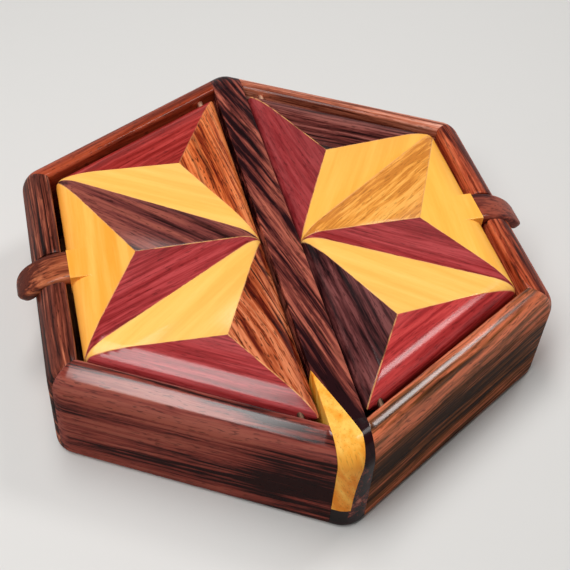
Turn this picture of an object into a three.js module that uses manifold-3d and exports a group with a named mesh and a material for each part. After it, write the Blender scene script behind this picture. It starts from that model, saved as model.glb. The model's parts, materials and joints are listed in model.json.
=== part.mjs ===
// Six-sided parquetry jewelry box with two star-patterned lids.
// Millimetres, +Z up, +Y along the centre board, the middle of the underside at the origin.
// Six mitred staves and a full-height centre board make two half-hexagon wells. Each well
// has a lid glued up from nine woods, which turns on two brass pins that run along the board.

import * as THREE from "three";
import { mergeVertices } from "three/addons/utils/BufferGeometryUtils.js";
import Module from "manifold-3d";

const wasm = await Module();
wasm.setup();

// Driving dimensions of the case
const innerApothem = 85;          // middle of the box to the inner face of a stave
const wallThickness = 11.5;
const caseHeight = 44;
const boardThickness = 13.2;
const cornerRadius = 10;          // upright outer corners
const rimOuterRadius = 9;         // rim rolled over to the outside
const rimInnerRadius = 1.5;       // rim eased to the inside
const footRadius = 2.5;           // bottom edge
const boardEaseWidth = 0.8;       // chamfer on the board's two long top edges
const glueLine = 0.1;             // between two pieces glued face to face

// Driving dimensions of the floor panels
const floorThickness = 4;
const floorRise = 3;              // underside of a panel above the table
const grooveDepth = 3.5;
const grooveClearance = 0.2;      // on every side of a panel's edge

// Driving dimensions of the lids
const lidThickness = 9;
const lidRise = 1;                // flat top of a lid above the crest of the rim
const rimGap = 2.2;
const barGap = 1.2;
const lidRollWidth = 9;           // top edge rolled over: inwards and downwards
const lidRollDepth = 5.5;
const lidFootRadius = 0.8;        // bottom edge eased
const lidCornerRadius = 4.5;      // upright corners at the side stave
const lidTipRadius = 1.5;         // upright corners beside the board
const starMargin = 25.4;          // a star's inner points to the edge of the lid that each faces
const starArmAngle = 63.6;        // degrees between the middle arm and the far or near arm
const leftStarShift = -2;         // the stars were set out a little towards the near corner
const rightStarShift = -5;

// Driving dimensions of the hinge pins
const pinRadius = 1.3;
const pinInset = 6.4;             // board-side edge of a lid to the pin's axis
const pinDrop = 4.5;              // pin's axis below the flat top of a lid
const pinDepthInLid = 12;
const pinDepthInStave = 6.5;
const pinRunningClearance = 0.08; // in the lid, which turns
const pinSeatClearance = 0.02;    // in the stave, which holds it

// Driving dimensions of the lids' swing
const lidSwing = 95;              // degrees from shut to fully open
const swingStep = 5;              // degrees from one cut of the relief to the next
const turningClearance = 0.4;     // a turning lid to the board and the staves beside it

// Driving dimensions of the finger pulls
const pullWidth = 15;
const leftPullShift = -3.7;       // both pulls sit a little towards the near corner
const rightPullShift = -2.6;
const pullThickness = 4.2;
const pullBendRadius = 26;
const pullOverhang = 6.7;         // past the outer face of the stave
const pullEdgeRadius = 1.2;
const pullTipRadius = 7.2;
const pullRootReach = 0.3;        // yellow root past the edge of the lid
const pullRootLap = 1;            // yellow root past the inside of the rolled edge
const notchSideClearance = 0.6;
const notchFloorClearance = 0.35;

// Driving dimensions of the corner inlay and the plug under it
const inlayLength = 40.5;         // along the board, from the near corner
const inlayWidth = 10;            // at the top of the corner
const inlayFootWidth = 6.5;
const inlayFootZ = 11;
const inlayCurveStart = { across: 0.18, along: 0.85 }; // shares of the inlay's width and
const inlayCurveEnd = { across: 0.87, along: 0.42 };   // length where its curve on the top bends
const inlayStraight = 0.26;       // share of the length that runs straight to the corner
const inlayCornerBend = 0.6;      // share of its height where the curve down the corner bends
const plugWidth = 5.8;
const plugHeight = 7.4;
const plugBacking = 1.5;          // board left between the plug and the floor's groove

// Fineness of the curved surfaces
const roundSteps = 8;
const cornerSteps = 6;
const creaseRadius = 0.2;         // where a rolled edge turns sharper than its own radius
const pinSides = 20;
const notchFloorSides = 120;
const weldDistance = 1e-5;        // between corners that are one corner

// Sizes and places that follow
const mitre = Math.PI / 6;        // half the turn from one hexagon face to the next
const caseApothem = innerApothem + wallThickness;
const cornerReach = caseApothem / Math.cos(mitre);
const boardHalf = boardThickness / 2;
const lidApothem = innerApothem - rimGap;
const lidInnerX = boardHalf + barGap;
const lidTop = caseHeight + lidRise;
const lidBottom = lidTop - lidThickness;
const pinX = lidInnerX + pinInset;
const pinZ = lidTop - pinDrop;
const pullRootX = lidApothem + pullRootReach;
const pullCentreZ = lidTop - pullBendRadius;
const pullShift = (side) => (side < 0 ? leftPullShift : rightPullShift);
const overrun = 10;               // how far a cutting shape runs past what it cuts

// Woods and metal

function material(name, color, roughness, metalness = 0) {
  return new THREE.MeshStandardMaterial({ name, color, roughness, metalness });
}

const woods = {
  rosewood: material("rosewood", 0x5a2418, 0.3),
  yellow: material("yellow_wood", 0xf2b04c, 0.35),
  red: material("red_wood", 0x9c2c30, 0.35),
  orange: material("orange_cocobolo", 0xa5521f, 0.3),
  dark: material("dark_cocobolo", 0x43202a, 0.3),
  figured: material("figured_tan_wood", 0xc98a3e, 0.35),
  ebony: material("ebony", 0x17100e, 0.3),
  floor: material("floor_board", 0x8a5a34, 0.6),
};
const brass = material("brass", 0xd9b07c, 0.3, 1);

// Solids from three.js geometry

function solid(geometry) {
  geometry.deleteAttribute("normal");
  geometry.deleteAttribute("uv");
  const merged = mergeVertices(geometry, weldDistance);
  const mesh = new wasm.Mesh({
    numProp: 3,
    vertProperties: new Float32Array(merged.attributes.position.array),
    triVerts: new Uint32Array(merged.index.array),
  });
  return new wasm.Manifold(mesh);
}

function geometryOf(manifold) {
  const mesh = manifold.getMesh();
  const geometry = new THREE.BufferGeometry();
  geometry.setAttribute("position", new THREE.BufferAttribute(mesh.vertProperties, 3));
  geometry.setIndex(new THREE.BufferAttribute(mesh.triVerts, 1));
  return geometry;
}

function box(x, y, z) {
  const geometry = new THREE.BoxGeometry(x[1] - x[0], y[1] - y[0], z[1] - z[0]);
  geometry.translate((x[0] + x[1]) / 2, (y[0] + y[1]) / 2, (z[0] + z[1]) / 2);
  return solid(geometry);
}

// A round bar along Y, from one Y to another.
function barAlongY(radius, x, y, z, sides) {
  const geometry = new THREE.CylinderGeometry(radius, radius, y[1] - y[0], sides);
  geometry.translate(x, (y[0] + y[1]) / 2, z);
  return solid(geometry);
}

// An upright prism over a plan outline.
function prism(points, z) {
  const shape = new THREE.Shape(points);
  const geometry = new THREE.ExtrudeGeometry(shape, { depth: z[1] - z[0], bevelEnabled: false });
  geometry.translate(0, 0, z[0]);
  return solid(geometry);
}

// Plan outlines with straight faces, each given by the direction that it looks in, its distance
// from the middle and the radius of the corner between it and the next face.

function meet(a, b, inset) {
  const turn = Math.sin(b.angle - a.angle);
  const da = a.distance - inset;
  const db = b.distance - inset;
  return new THREE.Vector2(
    (da * Math.sin(b.angle) - db * Math.sin(a.angle)) / turn,
    (db * Math.cos(a.angle) - da * Math.cos(b.angle)) / turn,
  );
}

function outline(faces, inset, steps) {
  const points = [];
  faces.forEach((face, i) => {
    const next = faces[(i + 1) % faces.length];
    const turn = (next.angle - face.angle + 4 * Math.PI) % (2 * Math.PI);
    const radius = steps ? Math.max(face.corner - inset, creaseRadius) : 0;
    const centre = meet(face, next, inset + radius);
    for (let k = 0; k <= steps; k += 1) {
      const angle = face.angle + turn * (steps ? k / steps : 0);
      points.push(new THREE.Vector2(
        centre.x + radius * Math.cos(angle),
        centre.y + radius * Math.sin(angle),
      ));
    }
  });
  return points;
}

function hexagonFaces(apothem, corner = 0) {
  return [0, 1, 2, 3, 4, 5].map((i) => ({ angle: i * 2 * mitre, distance: apothem, corner }));
}

// Half a hexagon on one side of the board: side is -1 on the left and 1 on the right.
function halfHexagonFaces(side, apothem, innerX, tip = 0, corner = 0) {
  const first = side < 0 ? 0 : Math.PI;
  return [
    { angle: first, distance: -innerX, corner: tip },
    { angle: first + 4 * mitre, distance: apothem, corner },
    { angle: first + 6 * mitre, distance: apothem, corner },
    { angle: first + 8 * mitre, distance: apothem, corner: tip },
  ];
}

// A closed skin over rings of equally many points, one above the other.
function loft(rings) {
  const count = rings[0].points.length;
  const positions = [];
  const index = [];
  rings.forEach((ring) => ring.points.forEach((p) => positions.push(p.x, p.y, ring.z)));
  for (let r = 0; r + 1 < rings.length; r += 1) {
    for (let i = 0; i < count; i += 1) {
      const a = r * count + i;
      const b = r * count + ((i + 1) % count);
      index.push(a, b, b + count, a, b + count, a + count);
    }
  }
  const last = (rings.length - 1) * count;
  for (let i = 1; i + 1 < count; i += 1) {
    index.push(0, i + 1, i);
    index.push(last, last + i, last + i + 1);
  }
  const geometry = new THREE.BufferGeometry();
  geometry.setAttribute("position", new THREE.Float32BufferAttribute(positions, 3));
  geometry.setIndex(index);
  return solid(geometry);
}

// A block with a round bottom edge and a top edge rolled over to an oval, which is as wide and
// as deep as asked for.
function easedBlock(faces, z, bottomRadius, topRoll) {
  const levels = [];
  for (let k = 0; k <= roundSteps; k += 1) {
    const angle = (Math.PI / 2) * (k / roundSteps);
    levels.push({
      inset: bottomRadius * (1 - Math.sin(angle)),
      z: z[0] + bottomRadius * (1 - Math.cos(angle)),
    });
  }
  for (let k = 0; k <= roundSteps; k += 1) {
    const angle = (Math.PI / 2) * (k / roundSteps);
    levels.push({
      inset: topRoll.width * (1 - Math.cos(angle)),
      z: z[1] - topRoll.depth * (1 - Math.sin(angle)),
    });
  }
  return loft(levels.map((level) => ({
    z: level.z,
    points: outline(faces, level.inset, cornerSteps),
  })));
}

// The well inside the staves, flared at the top where the rim is eased.
function wellCutter() {
  const levels = [{ inset: 0, z: -overrun }];
  for (let k = 0; k <= roundSteps; k += 1) {
    const angle = (Math.PI / 2) * (k / roundSteps);
    levels.push({
      inset: -rimInnerRadius * (1 - Math.cos(angle)),
      z: caseHeight - rimInnerRadius * (1 - Math.sin(angle)),
    });
  }
  levels.push({ inset: -rimInnerRadius, z: caseHeight + overrun });
  return loft(levels.map((level) => ({
    z: level.z,
    points: outline(hexagonFaces(innerApothem), level.inset, 0),
  })));
}

// Where a line along the board at a given distance from its middle meets a hexagon's far face.
function slantedFaceY(apothem, x) {
  return (apothem - x * Math.sin(mitre)) / Math.cos(mitre);
}

// Shared cutters

const tall = [-overrun, caseHeight + overrun];
const caseBlock = easedBlock(
  hexagonFaces(caseApothem, cornerRadius),
  [0, caseHeight],
  footRadius,
  { width: rimOuterRadius, depth: rimOuterRadius },
);
const boardSlab = box([-boardHalf, boardHalf], [-2 * cornerReach, 2 * cornerReach], tall);
const staveSideSlab = box(
  [-boardHalf - glueLine, boardHalf + glueLine], [-2 * cornerReach, 2 * cornerReach], tall,
);

function grooveCutter() {
  const z = [floorRise - grooveClearance, floorRise + floorThickness + grooveClearance];
  const whole = prism(outline(hexagonFaces(innerApothem + grooveDepth), 0, 0), z);
  const webHalf = boardHalf - grooveDepth;
  return whole.subtract(box([-webHalf, webHalf], [-2 * cornerReach, 2 * cornerReach], tall));
}

const groove = grooveCutter();
const shell = caseBlock.subtract(wellCutter()).subtract(staveSideSlab).subtract(groove);

// Hinge pins

const pins = [];
for (const [sideName, side] of [["left", -1], ["right", 1]]) {
  for (const [endName, end] of [["far", 1], ["near", -1]]) {
    pins.push({
      name: `hinge_pin_${sideName}_${endName}`,
      side,
      end,
      inner: slantedFaceY(lidApothem, pinX) - pinDepthInLid,
      outer: slantedFaceY(innerApothem, pinX) + pinDepthInStave,
    });
  }
}

function pinBar(pin, clearance) {
  const inner = pin.inner - clearance;
  const outer = pin.outer + clearance;
  const y = pin.end > 0 ? [inner, outer] : [-outer, -inner];
  const flatToFlat = (pinRadius + clearance) / (clearance ? Math.cos(Math.PI / pinSides) : 1);
  return barAlongY(flatToFlat, pin.side * pinX, y, pinZ, pinSides);
}

// Finger pulls

// Side view of a pull on the right: flat at its root, then bent down over the rim.
function pullProfile() {
  const bend = pullBendRadius;
  const nose = pullThickness / 2;
  const tipCentreX = caseApothem + pullOverhang - nose;
  const sweep = Math.asin((tipCentreX - pullRootX) / (bend - nose));
  const shape = new THREE.Shape();
  shape.moveTo(pullRootX - overrun, lidTop);
  shape.lineTo(pullRootX, lidTop);
  shape.absarc(pullRootX, pullCentreZ, bend, Math.PI / 2, Math.PI / 2 - sweep, true);
  const tip = new THREE.Vector2(
    tipCentreX,
    pullCentreZ + (bend - nose) * Math.cos(sweep),
  );
  shape.absarc(tip.x, tip.y, nose, Math.PI / 2 - sweep, -Math.PI / 2 - sweep, true);
  shape.absarc(
    pullRootX, pullCentreZ, bend - pullThickness, Math.PI / 2 - sweep, Math.PI / 2, false,
  );
  shape.lineTo(pullRootX - overrun, lidTop - pullThickness);
  return shape;
}

// Seen from above, the pull has a blunt rounded tip.
function pullPlan() {
  const corner = pullTipRadius;
  const faces = [
    { angle: 0, distance: caseApothem + pullOverhang, corner },
    { angle: Math.PI / 2, distance: pullWidth / 2, corner },
    { angle: Math.PI, distance: -(pullRootX + glueLine), corner },
    { angle: 1.5 * Math.PI, distance: pullWidth / 2, corner },
  ];
  const rounded = prism(outline(faces, 0, 2 * cornerSteps), tall);
  const middle = (pullRootX + caseApothem) / 2;
  const squareRoot = box(
    [pullRootX + glueLine, middle], [-pullWidth / 2, pullWidth / 2], tall,
  );
  return rounded.add(squareRoot);
}

function pullSolid(side) {
  const geometry = new THREE.ExtrudeGeometry(pullProfile(), {
    depth: pullWidth - 2 * pullEdgeRadius,
    curveSegments: roundSteps,
    bevelThickness: pullEdgeRadius,
    bevelSize: pullEdgeRadius,
    bevelOffset: -pullEdgeRadius,
    bevelSegments: 2,
  });
  geometry.translate(0, 0, pullEdgeRadius - pullWidth / 2);
  geometry.rotateX(Math.PI / 2);
  const turned = solid(geometry).intersect(pullPlan());
  return turned.rotate([0, 0, side < 0 ? 180 : 0]).translate([0, pullShift(side), 0]);
}

// The slot in a side stave that the pull lies in, its floor concentric with the pull's bend.
function notchCutter(side) {
  const halfWidth = pullWidth / 2 + notchSideClearance;
  const y = [pullShift(side) - halfWidth, pullShift(side) + halfWidth];
  const x = [innerApothem - overrun / 2, caseApothem + overrun];
  const block = box(side < 0 ? [-x[1], -x[0]] : x, y, [lidBottom, caseHeight + overrun]);
  const floorRadius = pullBendRadius - pullThickness - notchFloorClearance;
  const longer = [y[0] - overrun, y[1] + overrun];
  const floor = barAlongY(floorRadius, side * pullRootX, longer, pullCentreZ, notchFloorSides);
  return block.subtract(floor);
}

// Staves

// Everything that lies within 30 degrees of a direction from the middle, less half a glue line.
function sector(angle) {
  const reach = 3 * cornerReach;
  const apex = new THREE.Vector2(glueLine, 0);
  const points = [
    apex,
    new THREE.Vector2(apex.x + reach * Math.cos(mitre), -reach * Math.sin(mitre)),
    new THREE.Vector2(apex.x + reach * Math.cos(mitre), reach * Math.sin(mitre)),
  ];
  const origin = new THREE.Vector2();
  return prism(points.map((p) => p.rotateAround(origin, angle)), tall);
}

function staves() {
  const places = [
    ["stave_right_side", 0],
    ["stave_right_far", 2],
    ["stave_left_far", 4],
    ["stave_left_side", 6],
    ["stave_left_near", 8],
    ["stave_right_near", 10],
  ];
  return places.map(([name, sixths]) => {
    let body = shell.intersect(sector(sixths * mitre));
    pins.forEach((pin) => {
      body = body.subtract(pinBar(pin, pinSeatClearance));
    });
    if (name.endsWith("side")) {
      body = body.subtract(notchCutter(name.includes("left") ? -1 : 1));
    }
    return { name, body, material: woods.rosewood };
  });
}

// Centre board, with the inlay and the plug let into its near end

// The inlay's outline is a curve on the top and another down the corner.
function inlayRegion(growth) {
  const left = -boardHalf;
  const near = -cornerReach;
  const width = inlayWidth + growth;
  const plan = new THREE.Shape();
  plan.moveTo(left - overrun, near + inlayLength + growth);
  plan.lineTo(left, near + inlayLength + growth);
  plan.bezierCurveTo(
    left + inlayCurveStart.across * width, near + inlayCurveStart.along * inlayLength,
    left + inlayCurveEnd.across * width, near + inlayCurveEnd.along * inlayLength,
    left + width, near + inlayStraight * inlayLength,
  );
  plan.lineTo(left + width, near - overrun);
  plan.lineTo(left - overrun, near - overrun);
  const footWidth = inlayFootWidth + growth;
  const footZ = inlayFootZ - growth;
  const front = new THREE.Shape();
  front.moveTo(left - overrun, footZ);
  front.lineTo(left + footWidth, footZ);
  front.quadraticCurveTo(
    left + footWidth, footZ + inlayCornerBend * (caseHeight - inlayFootZ),
    left + width, caseHeight,
  );
  front.lineTo(left + width, caseHeight + overrun);
  front.lineTo(left - overrun, caseHeight + overrun);
  const upright = new THREE.ExtrudeGeometry(plan, {
    depth: tall[1] - tall[0], bevelEnabled: false, curveSegments: 2 * roundSteps,
  });
  upright.translate(0, 0, tall[0]);
  const lying = new THREE.ExtrudeGeometry(front, {
    depth: 4 * cornerReach, bevelEnabled: false, curveSegments: roundSteps,
  });
  lying.rotateX(Math.PI / 2);
  lying.translate(0, 2 * cornerReach, 0);
  return solid(upright).intersect(solid(lying));
}

function plugRegion(growth) {
  const top = inlayFootZ - glueLine;
  const grooveEnd = slantedFaceY(innerApothem + grooveDepth, boardHalf - grooveDepth);
  return box(
    [-boardHalf - overrun, -boardHalf + plugWidth + growth],
    [-2 * cornerReach, growth - grooveEnd - plugBacking],
    [top - plugHeight - growth, top + growth],
  );
}

// Chamfers on the long top edges, only along the wells.
function boardEasing(side) {
  const reach = slantedFaceY(innerApothem, boardHalf);
  const corner = side * boardHalf;
  const away = side * boardEaseWidth;
  const points = [
    new THREE.Vector2(corner + away, caseHeight - 2 * boardEaseWidth),
    new THREE.Vector2(corner + away, caseHeight + boardEaseWidth),
    new THREE.Vector2(corner - 2 * away, caseHeight + boardEaseWidth),
  ];
  const geometry = new THREE.ExtrudeGeometry(new THREE.Shape(points), {
    depth: 2 * reach, bevelEnabled: false,
  });
  geometry.rotateX(Math.PI / 2);
  geometry.translate(0, reach, 0);
  return solid(geometry);
}

function centreBoardParts() {
  const eased = caseBlock
    .intersect(boardSlab)
    .subtract(boardEasing(-1))
    .subtract(boardEasing(1));
  const board = eased
    .subtract(groove)
    .subtract(inlayRegion(glueLine))
    .subtract(plugRegion(glueLine));
  return [
    { name: "centre_board", body: board, material: woods.rosewood },
    { name: "corner_inlay", body: eased.intersect(inlayRegion(0)), material: woods.yellow },
    { name: "corner_plug", body: eased.intersect(plugRegion(0)), material: woods.ebony },
  ];
}

// Floor panels, their edges held in the grooves

function floorPanel(side) {
  const faces = halfHexagonFaces(
    side,
    innerApothem + grooveDepth - grooveClearance,
    boardHalf - grooveDepth + grooveClearance,
  );
  return prism(outline(faces, 0, 0), [floorRise, floorRise + floorThickness]);
}

// Lids

// Everything beside one well that its lid has to clear, grown by the turning clearance.
function besideWell(side) {
  const faces = halfHexagonFaces(
    side, innerApothem - turningClearance, boardHalf + turningClearance,
  );
  const reach = [-2 * cornerReach, 2 * cornerReach];
  return box(reach, reach, [0, caseHeight]).subtract(prism(outline(faces, 0, 0), tall));
}

// A lid loses whatever would touch the case on its way up, which is the underside of its two
// acute ends.
function relieved(side, block) {
  const seated = besideWell(side).translate([-side * pinX, 0, -pinZ]);
  let body = block;
  for (let turn = swingStep; turn <= lidSwing; turn += swingStep) {
    const turnedBack = seated.rotate([0, side * turn, 0]).translate([side * pinX, 0, pinZ]);
    body = body.subtract(turnedBack);
  }
  return body;
}

function lidBlock(side) {
  let block = relieved(side, easedBlock(
    halfHexagonFaces(side, lidApothem, lidInnerX, lidTipRadius, lidCornerRadius),
    [lidBottom, lidTop],
    lidFootRadius,
    { width: lidRollWidth, depth: lidRollDepth },
  ));
  pins.filter((pin) => pin.side === side).forEach((pin) => {
    block = block.subtract(pinBar(pin, pinRunningClearance));
  });
  return block;
}

// A triangle with every edge moved outwards by its own amount.
function movedTriangle(corners, moves) {
  const signedArea = THREE.ShapeUtils.area(corners);
  const order = signedArea > 0 ? [0, 1, 2] : [2, 1, 0];
  const edges = order.map((start, k) => {
    const end = order[(k + 1) % 3];
    const direction = corners[end].clone().sub(corners[start]);
    const angle = direction.angle() - Math.PI / 2;
    const normal = new THREE.Vector2(Math.cos(angle), Math.sin(angle));
    const third = 3 - start - end;
    return { angle, distance: normal.dot(corners[start]) + moves[third] };
  });
  return edges.map((edge, k) => meet(edge, edges[(k + 1) % 3], 0));
}

// The nine woods of a lid. Each is a triangle between the star's points and the lid's own
// corners; "open" is the corner that faces the lid's outline, or none.
function lidPieces(side, sideName, shift, colours) {
  const at = (x, y) => new THREE.Vector2(side * x, y);
  const farY = slantedFaceY(lidApothem, lidInnerX);
  const sideY = slantedFaceY(lidApothem, lidApothem);
  const farBoard = at(lidInnerX, farY);
  const farSide = at(lidApothem, sideY);
  const nearSide = at(lidApothem, -sideY);
  const nearBoard = at(lidInnerX, -farY);
  const centre = at(lidInnerX, shift);
  const armAngle = THREE.MathUtils.degToRad(starArmAngle);
  const armReach = (lidApothem - starMargin - lidInnerX * Math.sin(mitre))
    / Math.sin(armAngle + mitre);
  const armX = lidInnerX + armReach * Math.cos(armAngle);
  const armY = armReach * Math.sin(armAngle);
  const farArm = at(armX, shift + armY);
  const nearArm = at(armX, shift - armY);
  const outerArm = at(lidApothem - starMargin, shift);
  const pieces = [
    ["far_edge", [farBoard, farSide, farArm], 2],
    ["far_inner", [farBoard, centre, farArm], 2],
    ["far_ray", [farSide, farArm, centre], null],
    ["middle_far_ray", [farSide, outerArm, centre], null],
    ["side_edge", [farSide, nearSide, outerArm], 2],
    ["middle_near_ray", [nearSide, outerArm, centre], null],
    ["near_ray", [nearSide, nearArm, centre], null],
    ["near_edge", [nearSide, nearBoard, nearArm], 2],
    ["near_inner", [nearBoard, centre, nearArm], 2],
  ];
  const block = lidBlock(side);
  return pieces.map(([name, corners, open], i) => {
    const moves = [0, 1, 2].map((k) => (k === open ? overrun : -glueLine / 2));
    let body = block.intersect(prism(movedTriangle(corners, moves), tall));
    if (name === "side_edge") {
      body = body.add(pullRoot(side));
    }
    return { name: `${sideName}_lid_${name}`, body, material: woods[colours[i]] };
  });
}

// The yellow root of a pull, flush with the flat top where the lid's edge rolls away.
function pullRoot(side) {
  const x = [lidApothem - lidRollWidth - pullRootLap, pullRootX];
  return box(
    side < 0 ? [-x[1], -x[0]] : x,
    [pullShift(side) - pullWidth / 2, pullShift(side) + pullWidth / 2],
    [lidBottom + lidFootRadius, lidTop],
  );
}

const leftColours = [
  "red", "orange", "yellow", "dark", "yellow", "red", "yellow", "red", "orange",
];
const rightColours = [
  "dark", "red", "yellow", "figured", "yellow", "red", "yellow", "red", "dark",
];

// The whole box

const model = new THREE.Group();

function addTo(group, { name, body, material: surface }) {
  const mesh = new THREE.Mesh(geometryOf(body), surface);
  mesh.name = name;
  group.add(mesh);
}

const caseGroup = new THREE.Group();
staves().forEach((part) => addTo(caseGroup, part));
centreBoardParts().forEach((part) => addTo(caseGroup, part));
addTo(caseGroup, { name: "floor_left", body: floorPanel(-1), material: woods.floor });
addTo(caseGroup, { name: "floor_right", body: floorPanel(1), material: woods.floor });
pins.forEach((pin) => addTo(caseGroup, { name: pin.name, body: pinBar(pin, 0), material: brass }));
model.add(caseGroup);

for (const [sideName, side, shift, colours] of [
  ["left", -1, leftStarShift, leftColours],
  ["right", 1, rightStarShift, rightColours],
]) {
  const lid = new THREE.Group();
  lidPieces(side, sideName, shift, colours).forEach((part) => addTo(lid, part));
  addTo(lid, { name: `${sideName}_pull`, body: pullSolid(side), material: woods.rosewood });
  model.add(lid);
}

export default model;
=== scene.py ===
# The looks of a six-sided parquetry jewelry box with two star-patterned lids.
# Metres, +Z up, +Y along the centre board, the middle of the underside at the origin.

import json
import math
from collections import namedtuple

import bmesh
import bpy
from mathutils import Matrix, Vector


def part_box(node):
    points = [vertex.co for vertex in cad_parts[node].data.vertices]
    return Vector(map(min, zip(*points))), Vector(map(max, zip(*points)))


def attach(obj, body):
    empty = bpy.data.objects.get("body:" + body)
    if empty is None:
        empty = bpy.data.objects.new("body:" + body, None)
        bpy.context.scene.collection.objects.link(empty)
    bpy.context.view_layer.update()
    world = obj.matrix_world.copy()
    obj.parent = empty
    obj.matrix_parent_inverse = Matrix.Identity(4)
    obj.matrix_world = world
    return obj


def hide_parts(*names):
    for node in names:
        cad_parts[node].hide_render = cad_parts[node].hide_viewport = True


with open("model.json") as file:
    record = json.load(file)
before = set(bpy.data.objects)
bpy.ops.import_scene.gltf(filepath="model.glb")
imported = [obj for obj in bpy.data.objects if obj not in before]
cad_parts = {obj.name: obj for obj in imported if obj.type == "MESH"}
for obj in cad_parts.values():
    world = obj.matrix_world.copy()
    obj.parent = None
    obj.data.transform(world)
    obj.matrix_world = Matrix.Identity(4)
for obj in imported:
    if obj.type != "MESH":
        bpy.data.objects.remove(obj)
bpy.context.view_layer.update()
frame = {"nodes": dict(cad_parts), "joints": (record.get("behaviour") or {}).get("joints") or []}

MM = 0.001
SIDES = {"left": -1, "right": 1}

# Sizes that the frame gives
BOARD_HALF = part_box("centre_board")[1].x
CASE_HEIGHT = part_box("centre_board")[1].z
LID_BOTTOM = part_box("left_lid_far_ray")[0].z
LID_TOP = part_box("left_lid_far_ray")[1].z
LID_INNER_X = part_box("right_lid_far_inner")[0].x
PIN_RADIUS = (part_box("hinge_pin_right_far")[1].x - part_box("hinge_pin_right_far")[0].x) / 2
HINGE = next(joint for joint in frame["joints"] if joint["child"] == "right_lid")
PIN_X = HINGE["pos_m"][0]
PIN_Z = HINGE["pos_m"][2]
SWING = math.radians(HINGE["range_deg"][1])
PULL_TIP_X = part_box("right_pull")[1].x

# Case
INNER_APOTHEM = 85 * MM
WALL_THICKNESS = 11.5 * MM
CORNER_RADIUS = 10 * MM
RIM_OUTER_RADIUS = 9 * MM
RIM_INNER_RADIUS = 1.5 * MM
FOOT_RADIUS = 2.5 * MM
BOARD_EASE = 0.5 * MM
SEAM = 0.03 * MM            # between glued pieces
SEAM_EASE = 0.18 * MM       # arris taken off a piece where it meets the next
CREASE = 0.2 * MM

# Lids
RIM_GAP = 2.2 * MM
LID_ROLL_WIDTH = 9 * MM
LID_ROLL_DEPTH = 5.5 * MM
LID_FOOT_RADIUS = 0.8 * MM
LID_CORNER_RADIUS = 4.5 * MM
LID_TIP_RADIUS = 1.5 * MM
STAR_MARGIN = 25.4 * MM
STAR_ARM_ANGLE = math.radians(63.6)
STAR_SHIFT = {"left": -2 * MM, "right": -5 * MM}
TURNING_CLEARANCE = 0.4 * MM

# Finger pulls
PULL_WIDTH = 15 * MM
PULL_SHIFT = {-1: -3.7 * MM, 1: -2.6 * MM}
PULL_THICKNESS = 4.2 * MM
PULL_BEND_RADIUS = 26 * MM
PULL_EDGE_RADIUS = 1.5 * MM
PULL_TIP_RADIUS = 7.2 * MM
PULL_NOSE_LENGTH = 3.4 * MM
PULL_ROOT_REACH = 0.3 * MM
PULL_ROOT_LAP = 1 * MM
PULL_ROOT_EASE = 0.35 * MM
NOTCH_SIDE_CLEARANCE = 0.6 * MM
NOTCH_FLOOR_CLEARANCE = 0.35 * MM
NOTCH_EASE = 0.25 * MM

# Corner inlay and plug
INLAY_LENGTH = 40.5 * MM
INLAY_WIDTH = 10 * MM
INLAY_FOOT_WIDTH = 6.5 * MM
INLAY_FOOT_Z = 11 * MM
PLUG_WIDTH = 5.8 * MM
PLUG_HEIGHT = 7.4 * MM
PLUG_DEPTH = 8 * MM
# The inlay's curved edge on the board's top, in shares of its width and length
INLAY_CURVE = ((0, 1), (0.18, 0.85), (0.87, 0.42), (1, 0.26))
INLAY_BEND = 0.6            # share of its height at which its front edge turns outwards

# Hinge pins
PIN_EASE = 0.2 * MM

# Fineness
ROUND_STEPS = 16
CORNER_STEPS = 10
SMALL_ROUND_STEPS = 6
LID_FOOT_STEPS = 5
LID_WALL_SPANS = 6
SIDE_SPANS = 24
CURVE_STEPS = 24
PULL_SPANS = 16
PULL_TIP_STEPS = 20
PIN_SEGMENTS = 48
FLOOR_SPANS = 96
CREASE_ANGLE = math.radians(35)
SHARP_ANGLE = math.radians(57)
CUT_ANGLE = 0.2              # radians between the faces beside an edge that gets eased
SAME_PLACE = 1e-6            # metres
WELD = 1e-7                  # metres
FLOOR_WELD = 0.1 * MM
PARALLEL = 0.9999            # cosine between two directions that count as one
HALVINGS = 40                # tries in the search for the pull's length

# Sizes that follow
MITRE = math.pi / 6
CASE_APOTHEM = INNER_APOTHEM + WALL_THICKNESS
CORNER_REACH = CASE_APOTHEM / math.cos(MITRE)
LID_APOTHEM = INNER_APOTHEM - RIM_GAP
PULL_ROOT_X = LID_APOTHEM + PULL_ROOT_REACH
PULL_CENTRE_Z = LID_TOP - PULL_BEND_RADIUS
OVERRUN = 10 * MM


# Plan outlines and lofted blocks

Face = namedtuple("Face", "angle distance corner")


def hexagon_faces(apothem, corner):
    return [Face(i * 2 * MITRE, apothem, corner) for i in range(6)]


def half_hexagon_faces(side, apothem, inner_x, tip, corner):
    first = 0 if side < 0 else math.pi
    return [
        Face(first, -inner_x, tip),
        Face(first + 4 * MITRE, apothem, corner),
        Face(first + 6 * MITRE, apothem, corner),
        Face(first + 8 * MITRE, apothem, tip),
    ]


def meet(a, b, inset):
    turn = math.sin(b.angle - a.angle)
    da = a.distance - inset
    db = b.distance - inset
    return Vector((
        (da * math.sin(b.angle) - db * math.sin(a.angle)) / turn,
        (db * math.cos(a.angle) - da * math.cos(b.angle)) / turn,
    ))


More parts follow.
